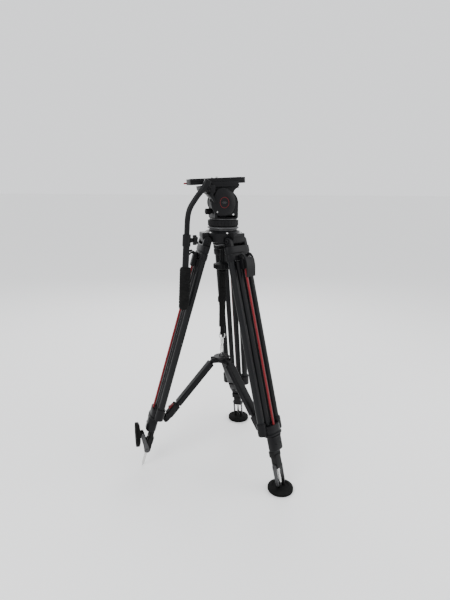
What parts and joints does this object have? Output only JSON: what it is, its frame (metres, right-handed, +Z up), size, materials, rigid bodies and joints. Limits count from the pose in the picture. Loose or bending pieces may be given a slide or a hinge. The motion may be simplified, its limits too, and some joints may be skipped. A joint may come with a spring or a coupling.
{
  "type": "camera tripod with fluid head",
  "caption": "Standing camera tripod: twin-tube telescoping legs, mid-level spreader, levelling bowl with tie-down strap, and a fluid head with sliding plate and pan bar.",
  "frame": {"origin": "The middle of the bounding box, at the height of the ground under the feet. The head and legs stand round a vertical axis 0.059 m along +X and 0.013 m along +Y from it.", "axes": "+Z is up, the way the tripod stands. +X is the way the head points, with the plate running along it and the pan bar hanging at its rear. +Y is to the left of the head."},
  "size_m": [0.5614, 0.6216, 1.0891],
  "materials": {
    "carbon_tube": "Woven carbon fibre tube under a thin satin clear coat, near black",
    "black_casting": "Satin black paint on cast magnesium, slightly grained, edges a little worn",
    "black_rod": "Smooth black anodised rods with a soft sheen",
    "red_trim": "Anodised red, semi-gloss",
    "grey_alloy": "Grey anodised aluminium, fine machined grain",
    "black_rubber": "Matte black rubber with fine stipple",
    "black_plastic": "Moulded black plastic, fine spark texture",
    "webbing": "Woven black webbing with a ribbed weave",
    "bare_steel": "Bright nickel plate with light handling marks"
  },
  "bodies": {
    "bowl": {"bowl": "black_casting", "strap_upper": "webbing"},
    "leg1": {"leg1_yoke": "black_casting", "leg1_outer_tube_a": "carbon_tube", "leg1_outer_tube_b": "carbon_tube", "leg1_lower_clamp": "black_casting", "leg1_red_rod": "red_trim"},
    "leg1_lever": {"leg1_lock_lever": "black_casting"},
    "leg1_middle": {"leg1_middle_stage": "carbon_tube"},
    "leg1_lower": {"leg1_lower_stage": "black_rod"},
    "leg1_fork": {"leg1_foot_fork": "grey_alloy"},
    "leg1_pad": {"leg1_foot_pad": "black_rubber"},
    "leg2": {"leg2_yoke": "black_casting", "leg2_outer_tube_a": "carbon_tube", "leg2_outer_tube_b": "carbon_tube", "leg2_lower_clamp": "black_casting", "leg2_red_rod": "red_trim"},
    "leg2_lever": {"leg2_lock_lever": "black_casting"},
    "leg2_middle": {"leg2_middle_stage": "carbon_tube"},
    "leg2_lower": {"leg2_lower_stage": "black_rod"},
    "leg2_fork": {"leg2_foot_fork": "grey_alloy"},
    "leg2_pad": {"leg2_foot_pad": "black_rubber"},
    "leg3": {"leg3_yoke": "black_casting", "leg3_outer_tube_a": "carbon_tube", "leg3_outer_tube_b": "carbon_tube", "leg3_lower_clamp": "black_casting", "leg3_red_rod": "red_trim"},
    "leg3_lever": {"leg3_lock_lever": "black_casting"},
    "leg3_middle": {"leg3_middle_stage": "carbon_tube"},
    "leg3_lower": {"leg3_lower_stage": "black_rod"},
    "leg3_fork": {"leg3_foot_fork": "grey_alloy"},
    "leg3_pad": {"leg3_foot_pad": "black_rubber"},
    "spreader": {"spreader_hub": "black_casting", "strap_lower": "webbing", "snap_hook": "bare_steel"},
    "arm1": {"spreader_sleeve_1": "black_casting"},
    "arm1_bar": {"spreader_bar_1": "black_casting"},
    "arm1_latch": {"spreader_latch_1": "red_trim"},
    "arm2": {"spreader_sleeve_2": "black_casting"},
    "arm2_bar": {"spreader_bar_2": "black_casting"},
    "arm2_latch": {"spreader_latch_2": "red_trim"},
    "arm3": {"spreader_sleeve_3": "black_casting"},
    "arm3_bar": {"spreader_bar_3": "black_casting"},
    "arm3_latch": {"spreader_latch_3": "red_trim"},
    "clamp_cup": {"clamp_cup": "grey_alloy"},
    "ball": {"ball_base": "grey_alloy"},
    "tie_down_knob": {"tie_down_knob": "black_plastic"},
    "pan_ring": {"pan_ring": "black_plastic"},
    "pan_fork": {"fork": "black_casting", "side_cap": "black_casting"},
    "pan_knob": {"pan_knob": "black_plastic"},
    "tilt_body": {"tilt_body": "black_casting"},
    "tilt_lever": {"tilt_lever": "black_casting"},
    "camera_plate": {"camera_plate": "black_casting"},
    "plate_screw": {"plate_screw": "bare_steel"},
    "plate_lever": {"plate_lever": "red_trim"},
    "pan_bar": {"bar_upper": "black_casting"},
    "pan_bar_end": {"bar_lower": "black_casting", "bar_grip": "black_rubber"},
    "bar_knob": {"bar_knob": "black_plastic"}
  },
  "joints": [
    {"name": "leg1_fold", "type": "hinge", "parent": "bowl", "child": "leg1", "pos_m": [0.0954, 0.06581, 0.87103], "axis": [-0.8192, 0.5736, 0], "range_deg": [0, 13.8]},
    {"name": "leg1_lever_turn", "type": "hinge", "parent": "leg1", "child": "leg1_lever", "pos_m": [0.11905, 0.09958, 0.82449], "axis": [0.8192, -0.5736, 0], "range_deg": [0, 80]},
    {"name": "leg1_middle_slide", "type": "slide", "parent": "leg1", "child": "leg1_middle", "axis": [0.1562, 0.223, -0.9622], "range_m": [0, 0.4]},
    {"name": "leg1_lower_slide", "type": "slide", "parent": "leg1_middle", "child": "leg1_lower", "axis": [0.1562, 0.223, -0.9622], "range_m": [0, 0.4]},
    {"name": "leg1_fork_turn", "type": "hinge", "parent": "leg1_lower", "child": "leg1_fork", "pos_m": [0.22458, 0.25029, 0.08983], "axis": [0.8192, -0.5736, 0], "range_deg": [0, 120]},
    {"name": "leg1_pad_tilt", "type": "hinge", "parent": "leg1_fork", "child": "leg1_pad", "pos_m": [0.23489, 0.26502, 0.02633], "axis": [0.8192, -0.5736, 0], "range_deg": [-40, 50]},
    {"name": "leg2_fold", "type": "hinge", "parent": "bowl", "child": "leg2", "pos_m": [-0.00506, 0.01896, 0.87103], "axis": [-0.0872, -0.9962, 0], "range_deg": [0, 13.8]},
    {"name": "leg2_lever_turn", "type": "hinge", "parent": "leg2", "child": "leg2_lever", "pos_m": [-0.04613, 0.02256, 0.82449], "axis": [0.0872, 0.9962, 0], "range_deg": [0, 80]},
    {"name": "leg2_middle_slide", "type": "slide", "parent": "leg2", "child": "leg2_middle", "axis": [-0.2712, 0.0237, -0.9622], "range_m": [0, 0.4]},
    {"name": "leg2_lower_slide", "type": "slide", "parent": "leg2_middle", "child": "leg2_lower", "axis": [-0.2712, 0.0237, -0.9622], "range_m": [-0.018, 0.38]},
    {"name": "leg2_fork_turn", "type": "hinge", "parent": "leg2_lower", "child": "leg2_fork", "pos_m": [-0.23485, 0.03907, 0.07057], "axis": [0.0872, 0.9962, 0], "range_deg": [-90, 0]},
    {"name": "leg2_pad_tilt", "type": "hinge", "parent": "leg2_fork", "child": "leg2_pad", "pos_m": [-0.25098, 0.04048, 0.13455], "axis": [0.0872, 0.9962, 0], "range_deg": [-5, 25]},
    {"name": "leg3_fold", "type": "hinge", "parent": "bowl", "child": "leg3", "pos_m": [0.08574, -0.04462, 0.87103], "axis": [0.9063, 0.4226, 0], "range_deg": [0, 13.8]},
    {"name": "leg3_lever_turn", "type": "hinge", "parent": "leg3", "child": "leg3_lever", "pos_m": [0.10317, -0.08198, 0.82449], "axis": [-0.9063, -0.4226, 0], "range_deg": [0, 80]},
    {"name": "leg3_middle_slide", "type": "slide", "parent": "leg3", "child": "leg3_middle", "axis": [0.1151, -0.2468, -0.9622], "range_m": [0, 0.4]},
    {"name": "leg3_lower_slide", "type": "slide", "parent": "leg3_middle", "child": "leg3_lower", "axis": [0.1151, -0.2468, -0.9622], "range_m": [0, 0.4]},
    {"name": "leg3_fork_turn", "type": "hinge", "parent": "leg3_lower", "child": "leg3_fork", "pos_m": [0.18092, -0.24873, 0.08983], "axis": [-0.9063, -0.4226, 0], "range_deg": [0, 120]},
    {"name": "leg3_pad_tilt", "type": "hinge", "parent": "leg3_fork", "child": "leg3_pad", "pos_m": [0.18852, -0.26502, 0.02633], "axis": [-0.9063, -0.4226, 0], "range_deg": [-40, 50]},
    {"name": "hub_rise", "type": "slide", "parent": "bowl", "child": "spreader", "axis": [0, 0, 1], "range_m": [0, 0.0565]},
    {"name": "arm1_swing", "type": "hinge", "parent": "spreader", "child": "arm1", "pos_m": [0.07762, 0.04042, 0.41203], "axis": [-0.8192, 0.5736, 0], "range_deg": [0, 36.8]},
    {"name": "arm1_reach", "type": "slide", "parent": "arm1", "child": "arm1_bar", "axis": [0.3672, 0.5244, -0.7682], "range_m": [-0.005, 0]},
    {"name": "arm1_latch_turn", "type": "hinge", "parent": "arm1_bar", "child": "arm1_latch", "pos_m": [0.16696, 0.168, 0.24308], "axis": [0.8192, -0.5736, 0], "range_deg": [0, 35]},
    {"name": "arm2_swing", "type": "hinge", "parent": "spreader", "child": "arm2", "pos_m": [0.02582, 0.01626, 0.41203], "axis": [-0.0872, -0.9962, 0], "range_deg": [0, 36.8]},
    {"name": "arm2_reach", "type": "slide", "parent": "arm2", "child": "arm2_bar", "axis": [-0.6377, 0.0558, -0.7682], "range_m": [-0.005, 0]},
    {"name": "arm2_latch_turn", "type": "hinge", "parent": "arm2_bar", "child": "arm2_latch", "pos_m": [-0.12934, 0.02984, 0.24308], "axis": [0.0872, 0.9962, 0], "range_deg": [0, 35]},
    {"name": "arm3_swing", "type": "hinge", "parent": "spreader", "child": "arm3", "pos_m": [0.07264, -0.01652, 0.41203], "axis": [0.9063, 0.4226, 0], "range_deg": [0, 36.8]},
    {"name": "arm3_reach", "type": "slide", "parent": "arm3", "child": "arm3_bar", "axis": [0.2705, -0.5802, -0.7682], "range_m": [-0.005, 0]},
    {"name": "arm3_latch_turn", "type": "hinge", "parent": "arm3_bar", "child": "arm3_latch", "pos_m": [0.13847, -0.15768, 0.24308], "axis": [-0.9063, -0.4226, 0], "range_deg": [0, 35]},
    {"name": "level_side", "type": "hinge", "parent": "bowl", "child": "clamp_cup", "pos_m": [0.05869, 0.01339, 0.91403], "axis": [1, 0, 0], "range_deg": [-4, 4]},
    {"name": "level_front", "type": "hinge", "parent": "clamp_cup", "child": "ball", "pos_m": [0.05869, 0.01339, 0.91403], "axis": [0, 1, 0], "range_deg": [-4, 4]},
    {"name": "tie_down_turn", "type": "hinge", "parent": "ball", "child": "tie_down_knob", "pos_m": [0.05869, 0.01339, 0.77303], "axis": [0, 0, 1], "continuous": true},
    {"name": "pan_drag_turn", "type": "hinge", "parent": "ball", "child": "pan_ring", "pos_m": [0.05869, 0.01339, 0.93103], "axis": [0, 0, 1], "continuous": true},
    {"name": "pan", "type": "hinge", "parent": "ball", "child": "pan_fork", "pos_m": [0.05869, 0.01339, 0.94403], "axis": [0, 0, 1], "continuous": true},
    {"name": "pan_knob_turn", "type": "hinge", "parent": "pan_fork", "child": "pan_knob", "pos_m": [0.00069, 0.01339, 0.97003], "axis": [1, 0, 0], "continuous": true},
    {"name": "tilt", "type": "hinge", "parent": "pan_fork", "child": "tilt_body", "pos_m": [0.05069, 0.01339, 1.00203], "axis": [0, 1, 0], "range_deg": [0, 60]},
    {"name": "tilt_lever_turn", "type": "hinge", "parent": "tilt_body", "child": "tilt_lever", "pos_m": [-0.0053, -0.04161, 1.02903], "axis": [0, 1, 0], "range_deg": [0, 50]},
    {"name": "plate_slide", "type": "slide", "parent": "tilt_body", "child": "camera_plate", "axis": [0.9984, 0, 0.0558], "range_m": [-0.03, 0.04]},
    {"name": "plate_screw_turn", "type": "hinge", "parent": "camera_plate", "child": "plate_screw", "pos_m": [0.03453, 0.01339, 1.07624], "axis": [-0.0558, 0, 0.9984], "continuous": true},
    {"name": "plate_lever_turn", "type": "hinge", "parent": "tilt_body", "child": "plate_lever", "pos_m": [0.01146, 0.05539, 1.05892], "axis": [0.0558, 0, -0.9984], "range_deg": [0, 60]},
    {"name": "bar_swing", "type": "hinge", "parent": "tilt_body", "child": "pan_bar", "pos_m": [-0.0153, -0.05061, 1.04703], "axis": [0, 1, 0], "range_deg": [0, 90]},
    {"name": "bar_reach", "type": "slide", "parent": "pan_bar", "child": "pan_bar_end", "axis": [-0.054, 0, -0.9985], "range_m": [0, 0.08]},
    {"name": "bar_knob_turn", "type": "hinge", "parent": "pan_bar_end", "child": "bar_knob", "pos_m": [-0.06541, -0.05061, 0.87856], "axis": [1, 0, 0], "continuous": true}
  ],
  "couplings": [
    {"joint": "leg2_fold", "follows": "leg1_fold", "ratio": 1},
    {"joint": "leg3_fold", "follows": "leg1_fold", "ratio": 1},
    {"joint": "hub_rise", "follows": "leg1_fold", "m_per_rad": 0.2337},
    {"joint": "arm1_swing", "follows": "leg1_fold", "ratio": 2.66},
    {"joint": "arm2_swing", "follows": "leg1_fold", "ratio": 2.66},
    {"joint": "arm3_swing", "follows": "leg1_fold", "ratio": 2.66}
  ]
}
